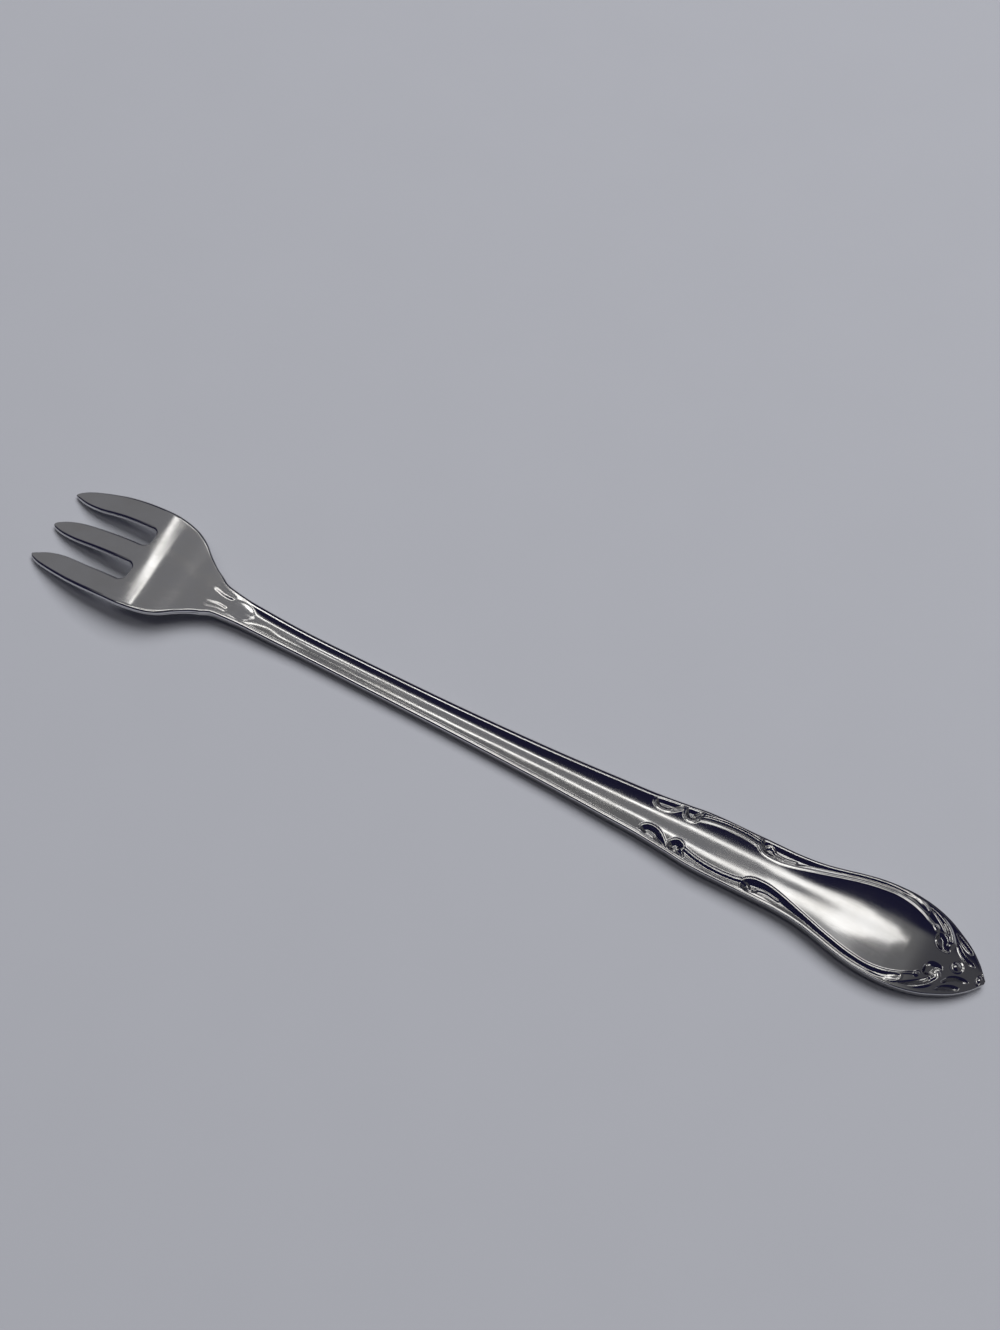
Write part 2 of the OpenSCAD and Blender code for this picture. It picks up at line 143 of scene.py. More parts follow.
def smooth(t):
    """A soft step from 0 to 1."""
    t = np.clip(t, 0, 1)
    return t * t * (3 - 2 * t)


half_width = Line(
    [[SEAM_AT, HEAD_HALF]]
    + placed(SLOTS_AT, HEAD_SPAN, [
        [0, 1], [0.10, 0.994], [0.26, 0.965], [0.43, 0.907], [0.59, 0.80], [0.75, 0.62],
        [0.92, 0.455], [1, 0.40],
    ], HEAD_HALF)
    + placed(HEAD_END_AT, NECK_SPAN, [
        [0.2, 1.36], [0.4, 1.24], [0.66, 1.14], [0.92, 1.09],
    ], SHANK_HALF)
    + placed(NECK_END_AT, SHANK_SPAN, [[0.15, 1], [0.3, 1.04], [0.46, 1.1]], SHANK_HALF)
    + placed(NECK_END_AT, SHANK_SPAN, [
        [0.62, 0.69], [0.77, 0.78], [0.93, 0.93], [1, 1],
    ], SHANK_END_HALF)
    + placed(SHANK_END_AT, HANDLE_SPAN, [
        [0.135, 0.9], [0.21, 0.975], [0.29, 1], [0.41, 1], [0.52, 1],
    ], WAIST_HALF)
    + placed(SHANK_END_AT, HANDLE_SPAN, [
        [0.59, 0.667], [0.65, 0.71], [0.72, 0.797], [0.77, 0.87], [0.85, 0.962], [0.9, 0.991],
        [0.95, 1], [1, 0.978],
    ], HANDLE_HALF)
    + placed(HANDLE_END_AT, TIP_SPAN, [
        [0.177, 0.928], [0.354, 0.84], [0.531, 0.703], [0.708, 0.536], [0.885, 0.283],
        [0.96, 0.13], [1, 0.045],
    ], HANDLE_HALF)
)
face_line = Line(
    placed(TIPS_AT, TINE_SPAN, [
        [0, 0], [0.18, 0.25], [0.357, 0.47], [0.595, 0.73], [0.833, 0.918], [1, 0.993],
    ], CREST_HEIGHT)
    + placed(SLOTS_AT, HEAD_SPAN, [
        [0.098, 1], [0.246, 0.984], [0.357, 0.953], [0.48, 0.9], [0.643, 0.805], [0.807, 0.696],
        [0.93, 0.607],
    ], CREST_HEIGHT)
    + placed(HEAD_END_AT, NECK_SPAN, [
        [0.13, 2.09], [0.39, 1.58], [0.65, 1.18], [0.91, 0.92],
    ], NECK_HEIGHT)
    + placed(NECK_END_AT, SHANK_SPAN, [
        [0.07, 7], [0.15, 3.6], [0.3, 1.8], [0.5, 1], [0.65, 1.6], [0.77, 3.6],
    ], SHANK_CLEARANCE)
    + placed(SHANK_END_AT, HANDLE_SPAN, [
        [0, 0.5], [0.13, 0.58], [0.3, 0.7], [0.52, 0.93], [0.77, 1], [0.95, 0.87],
    ], HANDLE_HEIGHT)
    + placed(HANDLE_END_AT, TIP_SPAN, [[0.354, 0.53], [0.708, 0.2], [1, 0]], HANDLE_HEIGHT)
)
edge_thickness = Line([
    [TIPS_AT, POINT_THICKNESS],
    [TIPS_AT + TINE_SPAN * 0.18, (POINT_THICKNESS + HEAD_THICKNESS) / 2],
    [SLOTS_AT, HEAD_THICKNESS],
    [SLOTS_AT + HEAD_SPAN * 0.65, HEAD_THICKNESS],
    [HEAD_END_AT + NECK_SPAN * 0.6, SHANK_THICKNESS],
    [SHANK_END_AT, SHANK_THICKNESS],
    [SHANK_END_AT + HANDLE_SPAN / 2, HANDLE_THICKNESS],
    [END_AT, HANDLE_THICKNESS],
])
crown = Line([
    [SLOTS_AT + HEAD_SPAN * 0.8, 0],
    [HEAD_END_AT + NECK_SPAN * 0.65, NECK_CROWN],
    [NECK_END_AT + 2.5, SHANK_CROWN],
    [NECK_END_AT + SHANK_SPAN / 2, SHANK_CROWN],
    [NECK_END_AT + SHANK_SPAN * 3 / 4, SHANK_CROWN * 1.2],
    [SHANK_END_AT + HANDLE_SPAN / 3, WAIST_CROWN],
    [SHANK_END_AT + HANDLE_SPAN / 2, WAIST_CROWN],
    [HANDLE_END_AT - HANDLE_SPAN / 8, HANDLE_CROWN],
    [HANDLE_END_AT, HANDLE_CROWN],
    [HANDLE_END_AT + TIP_SPAN * 0.6, HANDLE_CROWN / 2],
    [END_AT, 0],
])
face_crown = Line([
    [HEAD_END_AT, 0],
    [NECK_END_AT, FACE_SHANK_CROWN],
    [NECK_END_AT + SHANK_SPAN * 3 / 4, FACE_SHANK_CROWN],
    [SHANK_END_AT + HANDLE_SPAN / 3, FACE_HANDLE_CROWN],
    [HANDLE_END_AT, FACE_HANDLE_CROWN],
    [END_AT, 0],
])
# Rounding of the outer edges, slight on the thin head and full on the handle
edge_round = Line([
    [TIPS_AT, 0.34],
    [SLOTS_AT, 0.4],
    [HEAD_END_AT, 0.38],
    [NECK_END_AT, 0.3],
    [SHANK_END_AT + 15, 0.28],
    [SHANK_END_AT + 17.5, 0.2],
    [END_AT, 0.2],
])
# How far the side walls lean inwards at the face
undercut = Line([[HEAD_END_AT, 0], [NECK_END_AT, 0.14], [END_AT - 3, 0.16], [END_AT, 0.02]])
# Width of the rim, with its rounding
rim_band = Line([
    [HEAD_END_AT - 2, 0],
    [HEAD_END_AT + 2, 0.45],
    [NECK_END_AT, 0.72],
    [SHANK_END_AT, 0.74],
    [SHANK_END_AT + 2, 0.56],
    [SHANK_END_AT + 6, 0.5],
    [SHANK_END_AT + 15, 0.5],
    [SHANK_END_AT + 17.5, 0.34],
    [SHANK_END_AT + 32, 0.34],
    [SHANK_END_AT + 36, 0.4],
    [END_AT, 0.4],
])
# How far the rim falls on its way out, over the distance from its inner line
rim_fall = Line([[0, 0], [0.24, 0.011], [0.5, 0.0345], [0.62, 0.054], [0.9, 0.105]])
# Extra slope of the rim past its flat part
RIM_FLAT = 0.24
rim_lean = Line([[NECK_END_AT, 0.06], [NECK_END_AT + 34, 0.045], [NECK_END_AT + 46, 0]])


def bend(a, b, c, d, t):
    """A smooth step from b to c that minds the points before and after them."""
    square = 2 * a - 5 * b + 4 * c - d
    cube = 3 * b - a - 3 * c + d
    return 0.5 * (2 * b + (c - a) * t + square * t**2 + cube * t**3)


def curve(points, count=48):
    """A smooth open curve through [x, across] points, as many short steps."""
    p = np.array(points, float)
    p = np.vstack([2 * p[0] - p[1], p, 2 * p[-1] - p[-2]])
    t = np.linspace(0, len(points) - 1, count)
    i = np.minimum(t.astype(int), len(points) - 2)
    return bend(p[i], p[i + 1], p[i + 2], p[i + 3], (t - i)[:, None])


def loop(points, count=72):
    """A smooth closed curve through [x, across] points."""
    n = len(points)
    p = np.array(points, float)
    t = np.linspace(0, n, count, endpoint=False)
    i = t.astype(int)
    return bend(p[(i - 1) % n], p[i % n], p[(i + 1) % n], p[(i + 2) % n], (t - i)[:, None])


def away_from(x, y, path, closed=False):
    """Distance of each place to a path, and the share of the path where it is nearest."""
    a = path
    b = np.roll(path, -1, axis=0) if closed else path[1:]
    a = a[: len(b)]
    best = np.full(x.shape, 1e9)
    share = np.zeros(x.shape)
    for i in range(len(a)):
        wx, wy = b[i] - a[i]
        reach = max(wx * wx + wy * wy, 1e-12)
        t = np.clip(((x - a[i, 0]) * wx + (y - a[i, 1]) * wy) / reach, 0, 1)
        d = np.hypot(x - a[i, 0] - t * wx, y - a[i, 1] - t * wy)
        nearer = d < best
        best = np.where(nearer, d, best)
        share = np.where(nearer, (i + t) / len(a), share)
    return best, share


def inside(x, y, outline):
    """Signed distance into a closed outline: positive inside it."""
    d, _ = away_from(x, y, outline, closed=True)
    within = np.zeros(x.shape, bool)
    b = np.roll(outline, -1, axis=0)
    for (ax, ay), (bx, by) in zip(outline, b):
        crosses = (ay > y) != (by > y)
        at = ax + (y - ay) * (bx - ax) / (by - ay if by != ay else 1e-12)
        within ^= crosses & (x < at)
    return np.where(within, d, -d)


# The relief is drawn on one half of the handle as [x, across], with x measured from a
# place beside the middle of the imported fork, so the drawing stays on its zone.
DRAWING_START = (TIPS_AT + END_AT) / 2 + 0.35


def drawn(points):
    return [[x + DRAWING_START, across] for x, across in points]


# Depth of the leaves at the rim, and the width of their walls at the panel and at the rim
leaf_depth = Line([
    [SHANK_END_AT, 0.38], [SHANK_END_AT + 16, 0.42], [SHANK_END_AT + 23, 0.4],
    [SHANK_END_AT + 26, 0.3], [SHANK_END_AT + 28.5, 0.25], [END_AT, 0.24],
])
leaf_wall = Line([
    [SHANK_END_AT, 0.54], [SHANK_END_AT + 16, 0.66], [SHANK_END_AT + 23, 0.6],
    [SHANK_END_AT + 26, 0.47], [SHANK_END_AT + 28.5, 0.41], [END_AT, 0.41],
])
outer_wall = Line([
    [SHANK_END_AT, 0.62], [SHANK_END_AT + 16, 0.76], [SHANK_END_AT + 23, 0.72],
    [SHANK_END_AT + 26, 0.52], [SHANK_END_AT + 28.5, 0.4], [END_AT, 0.36],
])

FIRST_LEAF = loop(drawn([
    [25.25, 2.6], [25.45, 2.0], [26.05, 1.62], [26.9, 1.55], [27.8, 1.8], [28.7, 2.5],
    [29.45, 3.35], [28.8, 3.6], [27.4, 3.4], [26.2, 3.25], [25.35, 3.15],
]))
SECOND_LEAF = loop(drawn([
    [29.75, 3.6], [29.68, 2.9], [29.95, 2.2], [30.6, 1.78], [31.3, 1.88], [31.7, 2.35],
    [31.5, 2.75], [31.95, 3.25], [31.9, 3.8], [30.9, 3.8],
]))
LONG_LEAF = loop(drawn([
    [41.0, 3.6], [41.05, 3.0], [41.5, 2.4], [42.5, 2.05], [44.3, 2.02], [46.2, 2.38], [48, 2.9],
    [49.6, 3.38], [51, 3.8], [53.5, 4.54], [56, 5.18], [58.2, 5.58], [60.5, 5.76], [62.8, 5.48],
    [64.3, 5.0], [64.9, 5.0], [64.5, 5.7], [62.6, 6.5], [60, 6.8], [57, 6.5], [54, 5.8],
    [51.5, 5.2], [49.5, 4.9], [46, 4.5], [42.5, 4.4], [41.3, 4.2],
]), 144)
LONG_LEAF_END = DRAWING_START + 65.2
LONG_LEAF_FADE = 6.5
CURL = curve(drawn([
    [41.7, 3.05], [42.3, 3.4], [42.95, 3.3], [43.35, 2.95], [44.6, 2.8], [46.4, 3.1],
]))
PANEL_BEAD = curve(drawn([
    [40.75, 3.3], [40.9, 2.75], [41.45, 2.2], [42.5, 1.86], [44.3, 1.83], [46.2, 2.2],
    [48, 2.72], [51, 3.6], [53.5, 4.34], [56, 4.98], [58.2, 5.38], [60.4, 5.57], [62.6, 5.3],
    [64.3, 4.75], [65.5, 4.15], [66.7, 3.65],
]), 96)
CRESCENT_LIP = curve(drawn([
    [32.0, 2.45], [33.6, 2.85], [35.6, 3.12], [38, 3.16], [39.8, 3.0], [40.6, 2.8],
]))
CRESCENT = curve(drawn([
    [32.2, 2.95], [33.4, 3.3], [35.5, 3.62], [38, 3.68], [39.8, 3.55], [40.9, 3.35],
]))
SCROLL_CUT = loop(drawn([
    [64.8, 5.9], [66.0, 5.0], [67.1, 4.2], [67.9, 3.5], [68.3, 3.1], [68.7, 3.4], [68.3, 4.2],
    [67.3, 5.0], [66.0, 5.7],
]))
HOLLOW = loop(drawn([
    [67.05, 2.7], [67.1, 1.8], [67.7, 1.1], [68.5, 0.85], [69.4, 1.0], [69.6, 1.5], [69.1, 1.9],
    [68.85, 2.5], [68.5, 3.0], [67.9, 3.3], [67.3, 3.2],
]))
OUTER_CUT = loop(drawn([
    [69.4, 4.3], [70.1, 3.45], [71.0, 2.8], [71.8, 2.5], [72.5, 2.5], [72.4, 3.0], [71.6, 3.5],
    [70.6, 4.0], [69.9, 4.3],
]))
INNER_CUT = loop(drawn([
    [69.9, 3.0], [70.3, 2.1], [71.0, 1.45], [71.9, 1.05], [72.8, 0.95], [73.4, 1.2],
    [73.0, 1.6], [72.2, 1.8], [71.5, 2.1], [70.9, 2.6], [70.4, 3.0],
]))
KNOB = curve(drawn([[66.7, 3.7], [66.85, 3.55]]), 4)
PETAL = curve(drawn([
    [69.3, 2.2], [69.5, 2.75], [69.1, 3.5], [68.4, 4.35], [67.4, 5.1], [66.2, 5.7],
]), 40)
DIMPLE = curve(drawn([[-46.6, 1.5], [-45.2, 1.15], [-43.9, 1.1]]), 12)

# Scroll cuts of the tip: outline, width of the wall, share of the scroll depth
SCROLLS = (
    (SCROLL_CUT, 0.38, 0.9),
    (HOLLOW, 0.6, 1.4),
    (OUTER_CUT, 0.4, 0.95),
    (INNER_CUT, 0.46, 1.1),
)

# Half widths of the raised details, and how far they stand from their lines
WALL_SOFT = 0.1
BEAD_WIDTH = 0.27
LIP_OUTSIDE = 0.16
LIP_FADE = 0.2
CURL_WIDTH = 0.45
CRESCENT_LIP_WIDTH = 0.4
CRESCENT_WIDTH = 0.42
CRESCENT_WALL = 0.27
PETAL_WIDTH = 0.6
PETAL_FADE = 0.4
KNOB_WIDTH = 0.5
DIMPLE_WIDTH = 0.9
RING_GAP = 0.1
RING_WIDTH = 0.34
EDGE_FADE = 0.3

# Round details: place along x, half width along x and across
PEARL_AT = DRAWING_START + 71.15
PEARL_REACH = 0.62
END_PEARL_AT = DRAWING_START + 74.6
END_PEARL_REACH = 0.6
END_PEARL_STRETCH = 0.75
OVAL_AT = DRAWING_START - 41.7
OVAL_REACH = (2.35, 1.55)
OVAL_WALL = 0.25

# The relief starts this far before the handle, and shows on the face at this share
RELIEF_LEAD = 1
FACE_SHARE = 0.5


def swell(d, reach, rise):
    """A soft bead of the given half width."""
    return rise * np.cos(np.clip(np.abs(d) / reach, 0, 1) * math.pi / 2) ** 2


def wall(t):
    """A straight slope from 0 to 1 with softened ends."""
    t = np.clip(t, 0, 1)
    end = np.minimum(t, 1 - t)
    soft = end**2 / (2 * WALL_SOFT)
    rise = np.where(end < WALL_SOFT, soft, end - WALL_SOFT / 2) / (1 - WALL_SOFT)
    return np.where(t < 0.5, rise, 1 - rise)


def pearl(d, reach, rise, ring_depth):
    """A round bead that stands in a shallow ring."""
    return swell(d, reach, rise) - swell(d - reach - RING_GAP, RING_WIDTH, ring_depth)


def handle_relief(x, h, half, dome):
    """Height of the relief over the crowned surface, from the shank's end to the handle's."""
    sizes = bpy.context.scene.fork_relief
    foot = half - rim_band(x)
    out = foot - h

    # Sunk leaves: a steep wall at the panel, a nearly level floor and a slanted wall up to the rim
    rim_level = crown(x) * (1 - (foot / half) ** 2)
    floor = rim_level - dome - leaf_depth(x)
    lift = np.zeros(x.shape)
    lip = np.zeros(x.shape)
    for outline in (FIRST_LEAF, SECOND_LEAF, LONG_LEAF):
        deep = inside(x, h, outline)
        cut = wall(deep / leaf_wall(x)) * wall(out / outer_wall(x))
        if outline is LONG_LEAF:
            cut = cut * smooth((LONG_LEAF_END - x) / LONG_LEAF_FADE)
        lift += (floor - lift) * cut
        edge = swell(deep + LIP_OUTSIDE, BEAD_WIDTH, sizes.bead_rise / MM)
        lip = np.maximum(lip, edge * smooth(out / LIP_FADE))
    lift += lip
    d, t = away_from(x, h, CURL)
    lift += swell(d, CURL_WIDTH * (1 - 0.5 * t), sizes.curl_rise / MM)

    # The bead along the panel, and the crescent between the leaves with its soft lip
    d, _ = away_from(x, h, PANEL_BEAD)
    lift += np.maximum(swell(d, BEAD_WIDTH, sizes.bead_rise / MM) - lip, 0)
    d, _ = away_from(x, h, CRESCENT_LIP)
    lift += swell(d, CRESCENT_LIP_WIDTH, sizes.crescent_lip_rise / MM)
    d, _ = away_from(x, h, CRESCENT)
    lift -= sizes.crescent_depth / MM * wall((CRESCENT_WIDTH - d) / CRESCENT_WALL)

    # Scrolls, petals, knobs and pearls of the tip
    for outline, width, share in SCROLLS:
        lift -= sizes.scroll_depth / MM * share * wall(inside(x, h, outline) / width)
    d, t = away_from(x, h, PETAL)
    petal_rise = sizes.petal_rise / MM * smooth((1 - t) / PETAL_FADE)
    lift += swell(d, PETAL_WIDTH * (1 - 0.5 * t), petal_rise)
    d, _ = away_from(x, h, KNOB)
    lift += swell(d, KNOB_WIDTH, sizes.knob_rise / MM)
    ring_depth = sizes.ring_depth / MM
    d = np.hypot(x - PEARL_AT, h)
    lift += pearl(d, PEARL_REACH, sizes.pearl_rise / MM, ring_depth)
    d = np.hypot((x - END_PEARL_AT) / END_PEARL_STRETCH, h)
    in_front = x < END_PEARL_AT + RING_GAP
    lift += pearl(d, END_PEARL_REACH, sizes.end_pearl_rise / MM, ring_depth * in_front)

    # Close to the very edge the relief fades into the rounding
    return lift * smooth((half - h) / EDGE_FADE)


def neck_relief(x, h):
    """A shallow oval stamped on the neck, with a dimple on either side in front of it."""
    sizes = bpy.context.scene.fork_relief
    reach = np.hypot((x - OVAL_AT) / OVAL_REACH[0], h / OVAL_REACH[1])
    d, t = away_from(x, h, DIMPLE)
    oval = sizes.oval_depth / MM * smooth((1 - reach) / OVAL_WALL)
    return -oval - swell(d, DIMPLE_WIDTH * (1 - t / 3), sizes.dimple_depth / MM)


def surface(x, y, face):
    """Height of the back, or of the face, over a place, before the edge is rounded."""
    half = half_width(x)
    h = np.abs(y)
    foot = half - rim_band(x)
    over = np.maximum(h - foot, 0)
    arch = 1 - (np.minimum(h, foot) / half) ** 2
    dome = crown(x) * arch
    if not face:
        dome = dome - rim_fall(over) - rim_lean(x) * np.maximum(over - RIM_FLAT, 0)
    relief = np.zeros(x.shape)
    handle = x > SHANK_END_AT - RELIEF_LEAD
    if handle.any():
        relief[handle] = handle_relief(x[handle], h[handle], half[handle], dome[handle])
    if face:
        sunk = FACE_SHARE * np.minimum(relief, 0)
        return face_line(x) + face_crown(x) * (1 - arch) - sunk
    relief[~handle] = neck_relief(x[~handle], h[~handle])
    return face_line(x) + face_crown(x) + edge_thickness(x) + dome + relief


# Largest rounding of an edge, as shares of the thickness and of half the width
ROUND_BY_THICKNESS = 0.42
ROUND_BY_HALF = 0.45


def rounding(x, half):
    """Radius of the outer edges, smaller where the metal is thin or narrow."""
    largest = np.minimum(edge_thickness(x) * ROUND_BY_THICKNESS, half * ROUND_BY_HALF)
    return np.minimum(edge_round(x), largest)


def drop(depth_in, radius):
    """How far a rounded edge falls at a depth inside the outline."""
    t = np.clip(depth_in, 0, radius)
    return radius - np.sqrt(np.maximum(radius**2 - (radius - t) ** 2, 0))


# Shares of an edge's rounding at which its columns stand
ARC = 1 - np.cos(np.linspace(0, math.pi / 2, 7))


def sections(places, low, high, between):
    """Corners round the section at every place: the back from low to high, then the face
    back again. Between the rounded edges, columns stand at shares of the way, or at the
    distances that a function gives."""
    x, low, high = places[:, None], low[:, None], high[:, None]
    middle, half = (low + high) / 2, (high - low) / 2
    radius = rounding(x, half)
    arc = radius * ARC[:-1]
    if callable(between):
        flat = between(high, radius)
    else:
        flat = low + radius + (high - low - 2 * radius) * between
    y = np.concatenate([low + arc, flat, (high - arc)[:, ::-1]], 1)
    x = np.broadcast_to(x, y.shape)
    fall = drop(y - low, radius) + drop(high - y, radius)
    back = np.stack([x, y, surface(x, y, False) - fall], -1)
    face_y = middle + (y - middle) * (1 - undercut(x[:, :1]) / half)
    face = np.stack([x, face_y, surface(x, y, True) + fall], -1)
    return np.concatenate([back, face[:, ::-1]], 1)


def normals_of(points, faces):
    """Smooth normals of a mesh of quads, by area."""
    p = points[faces]
    n = np.cross(p[:, 2] - p[:, 0], p[:, 3] - p[:, 1])
    total = np.zeros(points.shape)
    for k in range(4):
        np.add.at(total, faces[:, k], n)
    return total / np.maximum(np.linalg.norm(total, axis=1), 1e-12)[:, None]


def mesh_object(name, points, normals, faces, caps, node):
    """A closed mesh in metres, with the given normals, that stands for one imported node."""
    mesh = bpy.data.meshes.new(name)
    mesh.from_pydata((points * MM).tolist(), [], [list(f) for f in faces] + [list(c) for c in caps])
    mesh.polygons.foreach_set("use_smooth", [True] * len(faces) + [False] * len(caps))
    corner_vertex = np.empty(len(mesh.loops), np.int32)
    mesh.loops.foreach_get("vertex_index", corner_vertex)
    corner_normals = normals[corner_vertex]
    for polygon in list(mesh.polygons)[len(faces) :]:
        corner_normals[list(polygon.loop_indices)] = polygon.normal
    mesh.normals_split_custom_set(corner_normals.tolist())
    piece = bpy.data.objects.new(name, mesh)
    bpy.context.scene.collection.objects.link(piece)
    piece.data.materials.append(steel_material())
    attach(piece, "root")
    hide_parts(node)


def lofted(name, rows, node, ghost_start=True, ghost_end=True):
    """A skin over rows of section corners. Ghost rows past the seams only steer the normals."""
    count, around = rows.shape[:2]
    index = np.arange(count * around).reshape(count, around)
    a, b = index[:-1], index[1:]
    faces = np.stack([a, b, np.roll(b, -1, 1), np.roll(a, -1, 1)], -1)
    points = rows.reshape(-1, 3)
    normals = normals_of(points, faces.reshape(-1, 4))
    first = 1 if ghost_start else 0
    last = count - 1 if ghost_end else count
    kept = faces[first : last - 1].reshape(-1, 4) - first * around
    points = points[first * around : last * around]
    normals = normals[first * around : last * around]
    end = len(points) - around
    caps = [list(range(around)), list(range(end, end + around))[::-1]]
    mesh_object(name, points, normals, kept, caps, node)


def stations(start, end, step):
    """Even places from one seam to the next, about a step apart."""
    count = max(2, int(round((end - start) / step)))
    return start + (end - start) * np.arange(count + 1) / count


# Columns along the rim, and how far in they reach, at most as a share of half the width
RIM_COLUMNS = 15
RIM_COLUMNS_REACH = 1.1
RIM_COLUMNS_SHARE = 0.55


def zone(name, node, places, inner, ghost_end=True):
    """One zone of the bar: even columns over the panel, and dense ones that follow the rim."""
    def columns(half, radius):
        border = half - np.minimum(RIM_COLUMNS_REACH, half * RIM_COLUMNS_SHARE)
        panel = border * np.linspace(0, 1, inner + 1)
        rim = border + (half - radius - border) * np.linspace(0, 1, RIM_COLUMNS + 2)[1:-1]
        side = np.concatenate([panel, rim], 1)
        return np.concatenate([-side[:, :0:-1], side], 1)

    half = half_width(places)
    lofted(name, sections(places, -half, half, columns), node, ghost_end=ghost_end)


# Steps along the bar and to its ghost rows, and columns between the middle and the rim
NECK_STEP = 0.12
SHANK_STEP = 0.3
SHANK_START_STEP = 0.08
SHANK_START_ROWS = 30
HANDLE_STEP = 0.1
TIP_STEP = 0.07
TIP_EVEN_END = 0.3
TIP_CLOSING = np.array([0.2, 0.1, 0.04, 0])
SHANK_GHOST = 0.12
HANDLE_GHOST = 0.08
BAR_COLUMNS = 16
HANDLE_COLUMNS = 52
TIP_COLUMNS = 60


def build_neck():
    places = stations(HEAD_END_AT, NECK_END_AT, NECK_STEP)
    places = np.concatenate([[places[0] - NECK_STEP], places, [places[-1] + NECK_STEP]])
    zone("neck_skin", "neck", places, BAR_COLUMNS)


def build_shank():
    fine_end = NECK_END_AT + SHANK_START_STEP * SHANK_START_ROWS
    places = np.concatenate([
        [NECK_END_AT - SHANK_START_STEP],
        stations(NECK_END_AT, fine_end, SHANK_START_STEP),
        stations(fine_end, SHANK_END_AT, SHANK_STEP)[1:],
        [SHANK_END_AT + SHANK_GHOST],
    ])
    zone("shank_skin", "shank", places, BAR_COLUMNS)


def build_handle():
    places = stations(SHANK_END_AT, HANDLE_END_AT, HANDLE_STEP)
    places = np.concatenate([[places[0] - HANDLE_STEP], places, [places[-1] + HANDLE_GHOST]])
    zone("handle_skin", "handle", places, HANDLE_COLUMNS)


def build_tip():
    places = stations(HANDLE_END_AT, END_AT - TIP_EVEN_END, TIP_STEP)
    places = np.concatenate([[places[0] - HANDLE_STEP], places, END_AT - TIP_CLOSING])
    zone("handle_tip_skin", "handle_tip", places, TIP_COLUMNS, ghost_end=False)


# Edges of the tines, as shares of the way from their points to the head and to the slot
middle_breadth = Line(placed(TIPS_AT, TINE_SPAN, [
    [0, 0], [0.012, 0.24], [0.03, 0.36], [0.06, 0.48], [0.12, 0.64], [0.179, 0.75],
    [0.27, 0.86], [0.357, 0.91], [0.6, 0.96], [0.85, 1], [1, 1],
], TINE_ROOT_HALF))
outward = Line(placed(TIPS_AT, TINE_SPAN, [
    [0, 0], [0.012, 0.15], [0.03, 0.24], [0.06, 0.34], [0.12, 0.47], [0.238, 0.63],
    [0.357, 0.757], [0.536, 0.907], [0.714, 0.98], [0.87, 1], [1, 1],
], HEAD_HALF - POINT_HALF_SPREAD))
inward = Line(placed(TIPS_AT, TINE_SPAN, [
    [0, 0], [0.012, 0.22], [0.03, 0.38], [0.06, 0.54], [0.12, 0.8], [0.179, 0.98], [0.27, 1.13],
    [0.357, 1.176], [0.5, 1.08], [0.655, 1], [1, 1],
], POINT_HALF_SPREAD - SLOT_OUTER))


def tine_edges(x, which):
    """The two edges of a tine at every place. which is -1, 0 or 1."""
    if which == 0:
        half = np.maximum(POINT_HALF_WIDTH, middle_breadth(x))
        return -half, half
    high = POINT_HALF_SPREAD + np.maximum(POINT_HALF_WIDTH, outward(x))
    low = POINT_HALF_SPREAD - np.maximum(POINT_HALF_WIDTH, inward(x))
    return (low, high) if which > 0 else (-high, -low)


# Places along a tine, dense at its point, and columns across it, as shares of the way
TINE_PLACES = np.concatenate([[0, 0.004, 0.012, 0.024], np.linspace(0.04, 1, 70)])
TINE_COLUMNS = np.linspace(0, 1, 17)[1:-1]
TINE_GHOST = 0.15


def build_tine(which, name, node):
    places = TIPS_AT + (SEAM_AT - TIPS_AT) * TINE_PLACES
    places = np.append(places, SEAM_AT + TINE_GHOST)
    rows = sections(places, *tine_edges(places, which), TINE_COLUMNS)
    lofted(name, rows, node, ghost_start=False)


def slot_start(y):
    """Where the metal begins behind a slot, over a distance from the middle of the fork."""
    h = abs(y)
    if h <= TINE_ROOT_HALF or h >= SLOT_OUTER:
        return SEAM_AT
    into = min(h - TINE_ROOT_HALF, SLOT_OUTER - h, SLOT_CORNER)
    return SEAM_AT + math.sqrt(max(SLOT_CORNER**2 - (SLOT_CORNER - into) ** 2, 0))


def slot_distance(x, h):
    """Depth of a place inside the metal, from the nearest slot wall."""
    middle = (TINE_ROOT_HALF + SLOT_OUTER) / 2
    flat_half = SLOT_WIDTH / 2 - SLOT_CORNER
    away = np.maximum(np.abs(h - middle) - flat_half, 0)
    return np.hypot(away, np.maximum(x - SEAM_AT, 0)) - SLOT_CORNER


def head_columns():
    """Distances from the middle at the seam, dense at every edge."""
    r = edge_round(SEAM_AT)
    arc = r * ARC
    corner = SLOT_CORNER * (1 - np.cos(np.linspace(0, math.pi / 2, 15)))
    columns = np.concatenate([
        np.linspace(0, TINE_ROOT_HALF - r, 9),
        TINE_ROOT_HALF - arc,
        TINE_ROOT_HALF + corner,
        SLOT_OUTER - corner,
        SLOT_OUTER + arc,
        np.linspace(SLOT_OUTER + r, HEAD_HALF - r, 16),
        HEAD_HALF - arc,
    ])
    return np.unique(np.round(columns, 6))


# The head's rows bend round the slots over this length, and are even past it
SLOT_ROWS_REACH = 1
SLOT_ROWS = np.linspace(0, 1, 20) ** 1.5
HEAD_STEP = 0.16


